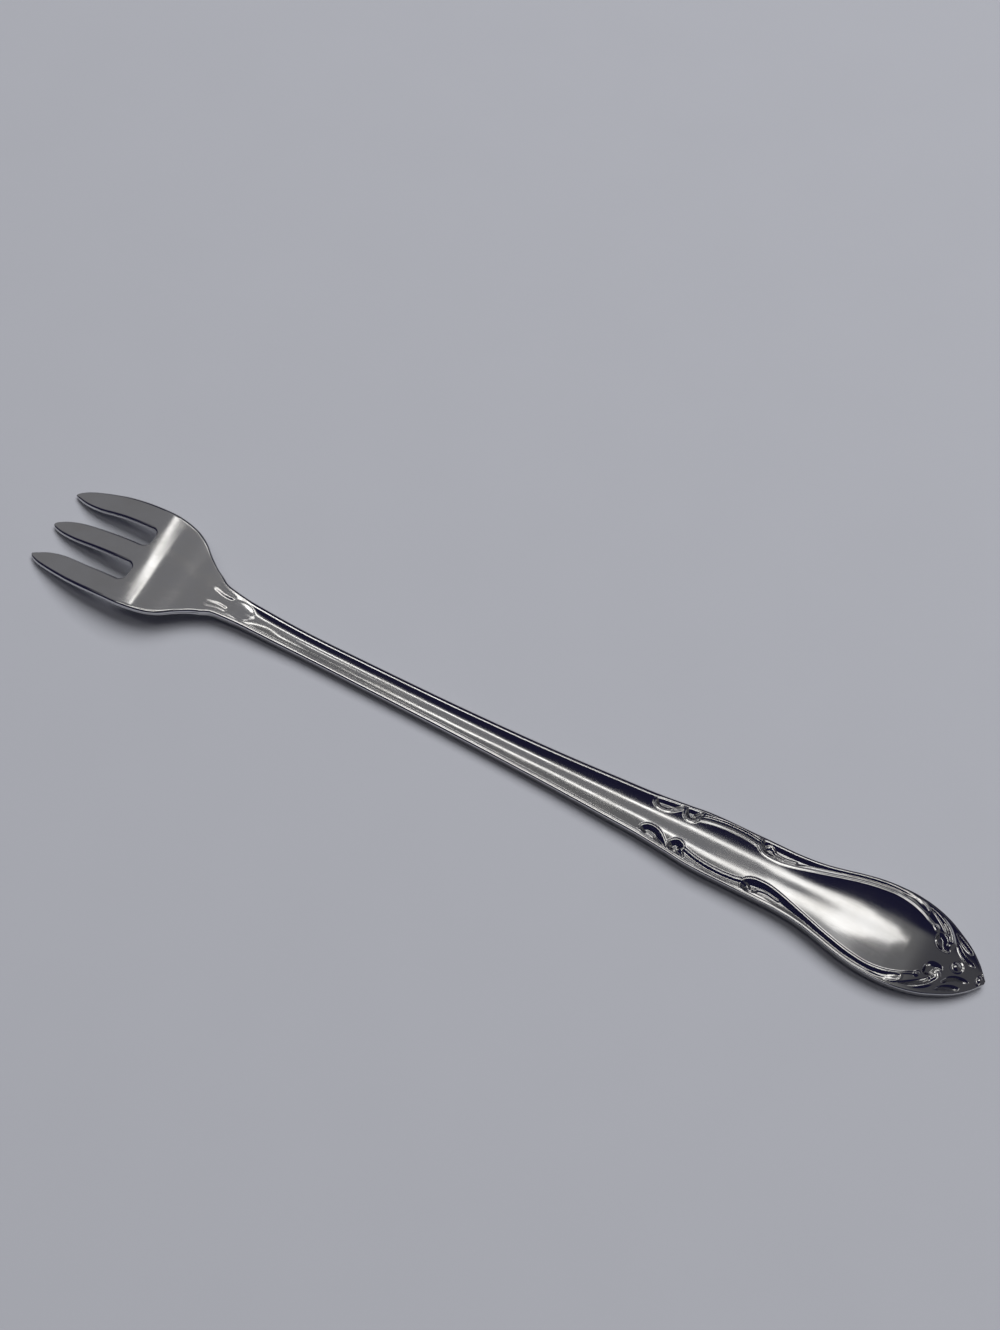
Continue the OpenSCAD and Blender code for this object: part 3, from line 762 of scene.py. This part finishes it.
def build_head():
    """The bent plate behind the tines: columns start at the seam, or where a slot ends."""
    half_columns = head_columns()
    columns = np.concatenate([-half_columns[::-1], half_columns[1:]])
    common = SLOTS_AT + SLOT_ROWS_REACH
    first = np.array([slot_start(y) for y in columns])
    far = stations(common, HEAD_END_AT, HEAD_STEP)[1:]
    places = np.concatenate([
        first[:, None] + (common - first)[:, None] * SLOT_ROWS,
        np.repeat(far[None], len(columns), 0),
        np.full((len(columns), 1), HEAD_END_AT + NECK_STEP),
    ], 1)

    # Past the slots every column keeps its share of the outline; before them only the edge moves
    outline = half_width(places)
    spread = np.where(places <= common, 1, outline / half_width(np.array([common]))[0])
    y = columns[:, None] * spread
    y = np.sign(y) * np.minimum(np.abs(y), outline)
    h = np.abs(y)
    radius = rounding(places, outline)
    fall = drop(outline - h, radius) + drop(np.maximum(slot_distance(places, h), 0), radius)
    back = surface(places.ravel(), y.ravel(), False).reshape(places.shape) - fall
    face = surface(places.ravel(), y.ravel(), True).reshape(places.shape) + fall
    points = np.concatenate([np.stack([places, y, z], -1).reshape(-1, 3) for z in (back, face)])

    # The back, the face, both outer edges and the walls of the slots
    index = np.arange(places.size).reshape(places.shape)
    under = index + places.size
    a, b, c, d = index[:-1, :-1], index[:-1, 1:], index[1:, 1:], index[1:, :-1]
    middle_h = (np.abs(columns[:-1]) + np.abs(columns[1:])) / 2
    slots = (middle_h > TINE_ROOT_HALF) & (middle_h < SLOT_OUTER)
    front, front_under = index[:, 0], under[:, 0]
    walls = np.stack([front[:-1], front[1:], front_under[1:], front_under[:-1]], -1)
    skin = np.concatenate([
        np.stack([a, b, c, d], -1).reshape(-1, 4),
        np.stack([a, d, c, b], -1).reshape(-1, 4) + places.size,
        np.stack([index[0, :-1], under[0, :-1], under[0, 1:], index[0, 1:]], -1),
        np.stack([index[-1, :-1], index[-1, 1:], under[-1, 1:], under[-1, :-1]], -1),
        walls[slots],
    ])
    normals = normals_of(points, skin)

    # Drop the ghost row at the neck, and close the seams
    is_ghost = np.zeros(len(points), bool)
    is_ghost[index[:, -1]] = True
    is_ghost[under[:, -1]] = True
    skin = skin[~is_ghost[skin].any(1)]
    renumber = np.cumsum(~is_ghost) - 1
    caps = [np.concatenate([index[:, -2], under[::-1, -2]])]
    edges = np.where(np.diff(np.concatenate([[0], (~slots).astype(int), [0]])))[0]
    for start, stop in zip(edges[::2], edges[1::2]):
        caps.append(np.concatenate([front[start : stop + 1][::-1], front_under[start : stop + 1]]))
    caps = [renumber[cap].tolist() for cap in caps]
    points, normals = points[~is_ghost], normals[~is_ghost]
    mesh_object("head_skin", points, normals, renumber[skin], caps, "head")


def add_node(tree, kind, **values):
    node = tree.nodes.new(kind)
    for key, value in values.items():
        setattr(node, key, value)
    return node


# Noise of the metal's finish per metre, along the fork, across it and upwards, and the
# strength and height in metres of its polishing lines
LINE_NOISE = (250, 5000, 5000)
SMEAR_NOISE = (160, 260, 260)
SCRATCH_NOISE = (500, 9000, 9000)
SCRATCH_TURNS = (0.5, -0.9, 1.9)
LINE_BUMP = 0.03
LINE_HEIGHT = 0.00002


def wear_group():
    """Polishing lines along the fork, fine scratches and faint smears, for any polished metal."""
    name = "Polish and Wear"
    if name in bpy.data.node_groups:
        return bpy.data.node_groups[name]
    group = bpy.data.node_groups.new(name, "ShaderNodeTree")
    for label, default in (("Line Scale", 1.0), ("Scratch Scale", 1.0), ("Smear Scale", 1.0),
                           ("Roughness Low", 0.12), ("Roughness High", 0.3)):
        socket = group.interface.new_socket(name=label, in_out="INPUT",
                                            socket_type="NodeSocketFloat")
        socket.default_value = default
    for label, kind in (("Tint", "NodeSocketColor"), ("Roughness", "NodeSocketFloat"),
                        ("Height", "NodeSocketFloat")):
        group.interface.new_socket(name=label, in_out="OUTPUT", socket_type=kind)
    links = group.links
    entry = add_node(group, "NodeGroupInput")
    leave = add_node(group, "NodeGroupOutput")
    place = add_node(group, "ShaderNodeTexCoord")

    def noise(stretch, scale, detail, turn=(0, 0, 0)):
        mapping = add_node(group, "ShaderNodeMapping")
        mapping.inputs["Scale"].default_value = stretch
        mapping.inputs["Rotation"].default_value = turn
        texture = add_node(group, "ShaderNodeTexNoise")
        texture.inputs["Detail"].default_value = detail
        texture.inputs["Roughness"].default_value = 0.6
        links.new(place.outputs["Object"], mapping.inputs["Vector"])
        links.new(mapping.outputs["Vector"], texture.inputs["Vector"])
        links.new(entry.outputs[scale], texture.inputs["Scale"])
        return texture.outputs["Fac"]

    def math_node(operation, a, b, clamp=False):
        node = add_node(group, "ShaderNodeMath", operation=operation, use_clamp=clamp)
        for socket, value in zip(node.inputs, (a, b)):
            if isinstance(value, (int, float)):
                socket.default_value = value
            else:
                links.new(value, socket)
        return node.outputs[0]

    def range_node(value, low, high):
        node = add_node(group, "ShaderNodeMapRange")
        node.inputs["From Min"].default_value = low
        node.inputs["From Max"].default_value = high
        links.new(value, node.inputs["Value"])
        return node.outputs["Result"]

    lines = noise(LINE_NOISE, "Line Scale", 3)
    smears = range_node(noise(SMEAR_NOISE, "Smear Scale", 4), 0.35, 0.7)
    scratches = None
    for turn in SCRATCH_TURNS:
        one = noise(SCRATCH_NOISE, "Scratch Scale", 1, (0, 0, turn))
        one = range_node(one, 0.72, 0.78)
        scratches = one if scratches is None else math_node("MAXIMUM", scratches, one)
    fine = math_node("MULTIPLY", range_node(lines, 0.3, 0.7), 0.35)
    spread = math_node("ADD", math_node("MULTIPLY", smears, 0.5), fine)
    spread = math_node("ADD", spread, math_node("MULTIPLY", scratches, 0.35), clamp=True)
    mix = add_node(group, "ShaderNodeMapRange")
    links.new(spread, mix.inputs["Value"])
    links.new(entry.outputs["Roughness Low"], mix.inputs["To Min"])
    links.new(entry.outputs["Roughness High"], mix.inputs["To Max"])
    links.new(mix.outputs["Result"], leave.inputs["Roughness"])
    raised, cut = (math_node("MULTIPLY", value, 0.6) for value in (lines, scratches))
    links.new(math_node("SUBTRACT", raised, cut), leave.inputs["Height"])
    tint = add_node(group, "ShaderNodeMix", data_type="RGBA")
    tint.inputs["A"].default_value = (1.0, 1.0, 1.0, 1)
    tint.inputs["B"].default_value = (0.93, 0.92, 0.9, 1)
    links.new(smears, tint.inputs["Factor"])
    links.new(tint.outputs["Result"], leave.inputs["Tint"])
    return group


def steel_material():
    """Polished stainless steel: grey metal with polishing lines, scratches and smears."""
    name = "Stainless Steel"
    if name in bpy.data.materials:
        return bpy.data.materials[name]
    settings = bpy.context.scene.fork_finish
    material = bpy.data.materials.new(name)
    material.use_nodes = True
    tree = material.node_tree
    shader = tree.nodes["Principled BSDF"]
    shader.inputs["Metallic"].default_value = 1.0
    wear = add_node(tree, "ShaderNodeGroup", node_tree=wear_group())
    wear.inputs["Roughness Low"].default_value = settings.polish
    wear.inputs["Roughness High"].default_value = settings.wear
    colour = add_node(tree, "ShaderNodeMix", data_type="RGBA", blend_type="MULTIPLY")
    colour.inputs["Factor"].default_value = 1
    colour.inputs["A"].default_value = (*settings.steel, 1)
    bump = add_node(tree, "ShaderNodeBump")
    bump.inputs["Strength"].default_value = LINE_BUMP
    bump.inputs["Distance"].default_value = LINE_HEIGHT
    links = tree.links
    links.new(wear.outputs["Tint"], colour.inputs["B"])
    links.new(colour.outputs["Result"], shader.inputs["Base Color"])
    links.new(wear.outputs["Roughness"], shader.inputs["Roughness"])
    links.new(wear.outputs["Height"], bump.inputs["Height"])
    links.new(bump.outputs["Normal"], shader.inputs["Normal"])
    return material


def floor_material():
    """A plain pale table top with a faint unevenness."""
    settings = bpy.context.scene.fork_studio
    material = bpy.data.materials.new("Table")
    material.use_nodes = True
    tree = material.node_tree
    shader = tree.nodes["Principled BSDF"]
    shader.inputs["Roughness"].default_value = 0.6
    shader.inputs["Specular IOR Level"].default_value = 0.25
    place = add_node(tree, "ShaderNodeTexCoord")
    texture = add_node(tree, "ShaderNodeTexNoise")
    texture.inputs["Scale"].default_value = 60
    texture.inputs["Detail"].default_value = 3
    mix = add_node(tree, "ShaderNodeMix", data_type="RGBA")
    darker = [0.97 * c for c in settings.table]
    mix.inputs["A"].default_value = (*darker, 1)
    mix.inputs["B"].default_value = (*settings.table, 1)
    tree.links.new(place.outputs["Object"], texture.inputs["Vector"])
    tree.links.new(texture.outputs["Fac"], mix.inputs["Factor"])
    tree.links.new(mix.outputs["Result"], shader.inputs["Base Color"])
    return material


# The camera, in millimetres and degrees
CAMERA_PLACE = (48.05, -84.6, 217.2)
CAMERA_AZIMUTH = 28.5
CAMERA_ELEVATION = 63.25
CAMERA_LENS = 44.66
SENSOR = 36.0

# The window, in metres, as level slats over the fork: place across, start and end along x,
# share of the window's brightness
SLAT = 0.06
WINDOW_SLATS = (
    (1.05, -0.04, 0.13, 0.62),
    (0.99, -0.22, 0.22, 0.82),
    (0.93, -0.22, 0.27, 0.96),
    (0.87, -0.09, 0.31, 0.95),
    (0.81, -0.04, 0.35, 0.86),
    (0.75, 0.00, 0.37, 0.75),
    (0.69, 0.01, 0.33, 0.75),
    (0.63, -0.01, 0.30, 0.82),
    (0.57, -0.05, 0.27, 0.9),
    (0.51, -0.10, 0.24, 0.92),
    (0.45, -0.22, 0.21, 0.95),
    (0.39, -0.20, 0.16, 0.88),
    (0.33, -0.10, 0.10, 0.7),
    (0.27, -0.06, 0.03, 0.55),
)
# Other soft boxes: place, size, share of the window's brightness, turn in degrees
SOFT_BOXES = (
    ("far_strip", (-0.61, 0.985), (0.78, 0.09), 1.5, 0),
    ("near_strip", (-0.275, 0.43), (0.11, 0.08), 1.3, 0),
    ("near_left_strip", (-0.465, 0.3), (0.36, 0.07), 1.5, 48),
    ("left_panel", (-0.895, 0.8), (0.58, 0.075), 1.15, -28),
    ("near_panel", (-0.2, -0.33), (1.3, 0.34), 1.5, 0),
)
BOX_HEIGHT = 2
KEY_PLACE = (0.15, 0.75, 1.5)
KEY_SIZE = (1.3, 1.3)
BOX_COLOUR = (1.0, 0.985, 0.94)
TABLE_REACH = 3.0

# Where one part of the room passes into the next, along a direction's x, y or z
SIDE_STEP = (0.06, 0.13)
END_STEP = (0.2, 0.36)
NEAR_LEFT_STEP = (-0.09, -0.04)
NEAR_RIGHT_STEP = (-0.01, 0.06)
LEFT_END_STEP = (-0.75, -0.55)
NEAR_EDGE_STEP = (-0.36, -0.24)
MIDDLE_STEP = (0.16, 0.24)
FAR_STEP = (0.46, 0.51)
LOW_FAR_STEP = (0.4, 0.6)
HORIZON_STEP = (0.25, 0.42)


def look_along(azimuth, elevation):
    """The way that leads from the fork back to a camera."""
    a, e = math.radians(azimuth), math.radians(elevation)
    return Vector((math.sin(a) * math.cos(e), -math.cos(a) * math.cos(e), math.sin(e)))


def add_camera():
    data = bpy.data.cameras.new("Camera")
    data.lens = CAMERA_LENS
    data.sensor_width = SENSOR
    data.clip_start = 0.005
    camera = bpy.data.objects.new("Camera", data)
    camera.location = Vector(CAMERA_PLACE) * MM
    back = look_along(CAMERA_AZIMUTH, CAMERA_ELEVATION)
    camera.rotation_euler = back.to_track_quat("Z", "Y").to_euler()
    bpy.context.scene.collection.objects.link(camera)
    bpy.context.scene.camera = camera


def add_lamp(name, centre, size, radiance, glossy=True, turn=0.0):
    """A level rectangular lamp of a given brightness over the fork, turned about the upright."""
    data = bpy.data.lights.new(name, "AREA")
    data.shape = "RECTANGLE"
    data.size, data.size_y = size
    data.energy = radiance * math.pi * size[0] * size[1]
    data.color = BOX_COLOUR if glossy else (1.0, 1.0, 1.0)
    lamp = bpy.data.objects.new(name, data)
    lamp.location = centre
    lamp.rotation_euler.z = math.radians(turn)
    lamp.visible_glossy = glossy
    lamp.visible_camera = False
    bpy.context.scene.collection.objects.link(lamp)


def build_world():
    """A room that is grey overhead, lighter on the near side and dark low down on the far side."""
    settings = bpy.context.scene.fork_studio
    world = bpy.data.worlds.new("Room")
    bpy.context.scene.world = world
    world.use_nodes = True
    tree = world.node_tree
    background = tree.nodes["Background"]
    place = add_node(tree, "ShaderNodeTexCoord")
    split = add_node(tree, "ShaderNodeSeparateXYZ")
    tree.links.new(place.outputs["Generated"], split.inputs["Vector"])

    def step(source, span):
        node = add_node(tree, "ShaderNodeMapRange", interpolation_type="SMOOTHSTEP")
        node.inputs["From Min"].default_value, node.inputs["From Max"].default_value = span
        tree.links.new(source, node.inputs["Value"])
        return node.outputs["Result"]

    def mix(factor, first, second):
        node = add_node(tree, "ShaderNodeMix", data_type="RGBA")
        tree.links.new(factor, node.inputs["Factor"])
        for socket, value in ((node.inputs["A"], first), (node.inputs["B"], second)):
            if isinstance(value, bpy.types.NodeSocket):
                tree.links.new(value, socket)
            else:
                socket.default_value = (*value, 1)
        return node.outputs["Result"]

    x, y, z = (split.outputs[axis] for axis in "XYZ")
    side = mix(step(x, SIDE_STEP), settings.room, settings.side_room)
    side = mix(step(x, END_STEP), side, settings.end_room)
    near = mix(step(x, NEAR_LEFT_STEP), settings.side_room, settings.near_room)
    near = mix(step(x, NEAR_RIGHT_STEP), near, side)
    near = mix(step(x, LEFT_END_STEP), settings.far_room, near)
    near = mix(step(y, NEAR_EDGE_STEP), settings.far_room, near)
    room = mix(step(y, MIDDLE_STEP), near, side)
    above = mix(step(y, FAR_STEP), room, settings.far_room)
    low = mix(step(y, LOW_FAR_STEP), above, settings.room)
    whole = mix(step(z, HORIZON_STEP), low, above)
    tree.links.new(whole, background.inputs["Color"])


def small_size(name, description, size):
    """A length of the relief, given in millimetres."""
    return FloatProperty(name=name, description=description, unit="LENGTH", precision=5,
                         default=size * MM, min=0)


class ForkRelief(bpy.types.PropertyGroup):
    bead_rise: small_size("Bead Rise", "Height of the beads beside the panel and the leaves", 0.08)
    curl_rise: small_size("Curl Rise", "Height of the curls in the long leaves", 0.2)
    crescent_lip_rise: small_size("Crescent Lip", "Height of the lip along the crescents", 0.07)
    crescent_depth: small_size("Crescent Depth", "Depth of the crescents between the leaves", 0.17)
    scroll_depth: small_size("Scroll Depth", "Depth of the scroll cuts of the tip", 0.36)
    petal_rise: small_size("Petal Rise", "Height of the petals of the tip", 0.22)
    knob_rise: small_size("Knob Rise", "Height of the knobs at the ends of the panel's beads", 0.2)
    pearl_rise: small_size("Pearl Rise", "Height of the pearl between the scrolls", 0.2)
    end_pearl_rise: small_size("End Pearl Rise", "Height of the pearl at the very end", 0.16)
    ring_depth: small_size("Ring Depth", "Depth of the ring around each pearl", 0.1)
    oval_depth: small_size("Oval Depth", "Depth of the oval on the neck", 0.02)
    dimple_depth: small_size("Dimple Depth", "Depth of the dimples beside the oval", 0.035)


class ForkFinish(bpy.types.PropertyGroup):
    steel: FloatVectorProperty(
        name="Steel", description="Colour of the stainless steel",
        subtype="COLOR", default=(0.62, 0.62, 0.63), min=0, max=1)
    polish: FloatProperty(
        name="Polish", description="Roughness of the cleanest metal",
        subtype="FACTOR", default=0.06, min=0, max=1)
    wear: FloatProperty(
        name="Wear", description="Roughness of the most worn metal",
        subtype="FACTOR", default=0.15, min=0, max=1)


class ForkStudio(bpy.types.PropertyGroup):
    table: FloatVectorProperty(
        name="Table", description="Colour of the table",
        subtype="COLOR", default=(0.44, 0.45, 0.49), min=0, max=1)
    near_room: FloatVectorProperty(
        name="Near Room", description="Room on the near side",
        subtype="COLOR", default=(0.5, 0.5, 0.5), min=0, max=1)
    room: FloatVectorProperty(
        name="Room", description="Room overhead",
        subtype="COLOR", default=(0.22, 0.22, 0.23), min=0, max=1)
    side_room: FloatVectorProperty(
        name="Side Room", description="Room to the sides",
        subtype="COLOR", default=(0.165, 0.165, 0.17), min=0, max=1)
    end_room: FloatVectorProperty(
        name="End Room", description="Room past the end of the handle",
        subtype="COLOR", default=(0.075, 0.075, 0.085), min=0, max=1)
    far_room: FloatVectorProperty(
        name="Far Room", description="Dark far side of the room",
        subtype="COLOR", default=(0.012, 0.012, 0.035), min=0, max=1)
    window: FloatProperty(
        name="Window", description="Brightness of the soft boxes", default=1.5, min=0)
    key: FloatProperty(
        name="Key", description="Brightness of the large soft lamp", default=5.2, min=0)


class FORK_OT_tines(bpy.types.Operator):
    """Build the three curved tines"""
    bl_idname = "fork.tines"
    bl_label = "Tines"

    def execute(self, context):
        build_tine(-1, "left_tine_skin", "left_tine")
        build_tine(0, "middle_tine_skin", "middle_tine")
        build_tine(1, "right_tine_skin", "right_tine")
        return {"FINISHED"}


class FORK_OT_head(bpy.types.Operator):
    """Build the bent head with the closed ends of the slots"""
    bl_idname = "fork.head"
    bl_label = "Head"

    def execute(self, context):
        build_head()
        return {"FINISHED"}


class FORK_OT_neck(bpy.types.Operator):
    """Build the neck with its shallow oval and its dimples"""
    bl_idname = "fork.neck"
    bl_label = "Neck"

    def execute(self, context):
        build_neck()
        return {"FINISHED"}


class FORK_OT_shank(bpy.types.Operator):
    """Build the rimmed shank"""
    bl_idname = "fork.shank"
    bl_label = "Shank"

    def execute(self, context):
        build_shank()
        return {"FINISHED"}


class FORK_OT_handle(bpy.types.Operator):
    """Build the domed handle with its leaves"""
    bl_idname = "fork.handle"
    bl_label = "Handle"

    def execute(self, context):
        build_handle()
        return {"FINISHED"}


class FORK_OT_tip(bpy.types.Operator):
    """Build the scrolled tip of the handle"""
    bl_idname = "fork.tip"
    bl_label = "Handle Tip"

    def execute(self, context):
        build_tip()
        return {"FINISHED"}


class FORK_OT_stage(bpy.types.Operator):
    """Set the table, the lamps, the world and the camera"""
    bl_idname = "fork.stage"
    bl_label = "Stage"

    def execute(self, context):
        build_stage()
        return {"FINISHED"}


def build_stage():
    settings = bpy.context.scene.fork_studio
    add_camera()
    r = TABLE_REACH
    mesh = bpy.data.meshes.new("table")
    mesh.from_pydata([(-r, -r, 0), (r, -r, 0), (r, r, 0), (-r, r, 0)], [], [(0, 1, 2, 3)])
    table = bpy.data.objects.new("table", mesh)
    table.data.materials.append(floor_material())
    bpy.context.scene.collection.objects.link(table)

    build_world()
    window = settings.window
    for i, (across, start, end, share) in enumerate(WINDOW_SLATS):
        centre = ((start + end) / 2, across, BOX_HEIGHT)
        add_lamp("window_%d" % i, centre, (end - start, SLAT), share * window)
    for name, place, size, share, turn in SOFT_BOXES:
        add_lamp(name, (*place, BOX_HEIGHT), size, share * window, turn=turn)
    add_lamp("key_lamp", KEY_PLACE, KEY_SIZE, settings.key, glossy=False)
    bpy.context.scene.view_settings.view_transform = "Standard"


PARTS = (
    FORK_OT_tines, FORK_OT_head, FORK_OT_neck, FORK_OT_shank, FORK_OT_handle, FORK_OT_tip,
)


class FORK_PT_panel(bpy.types.Panel):
    """The fork's parts and its studio"""
    bl_label = "Oyster Fork"
    bl_idname = "FORK_PT_panel"
    bl_space_type = "VIEW_3D"
    bl_region_type = "UI"
    bl_category = "Oyster Fork"

    def draw(self, context):
        layout = self.layout
        scene = context.scene
        for settings in (scene.fork_relief, scene.fork_finish):
            for name in settings.__annotations__:
                layout.prop(settings, name)
        for part in PARTS:
            layout.operator(part.bl_idname)
        for name in scene.fork_studio.__annotations__:
            layout.prop(scene.fork_studio, name)
        layout.operator(FORK_OT_stage.bl_idname)


CLASSES = (ForkRelief, ForkFinish, ForkStudio, *PARTS, FORK_OT_stage, FORK_PT_panel)


def register():
    for cls in CLASSES:
        bpy.utils.register_class(cls)
    bpy.types.Scene.fork_relief = PointerProperty(type=ForkRelief)
    bpy.types.Scene.fork_finish = PointerProperty(type=ForkFinish)
    bpy.types.Scene.fork_studio = PointerProperty(type=ForkStudio)


def unregister():
    del bpy.types.Scene.fork_studio
    del bpy.types.Scene.fork_finish
    del bpy.types.Scene.fork_relief
    for cls in reversed(CLASSES):
        bpy.utils.unregister_class(cls)


def main():
    register()
    bpy.ops.fork.tines()
    bpy.ops.fork.head()
    bpy.ops.fork.neck()
    bpy.ops.fork.shank()
    bpy.ops.fork.handle()
    bpy.ops.fork.tip()
    bpy.ops.fork.stage()


if __name__ == "__main__":
    main()
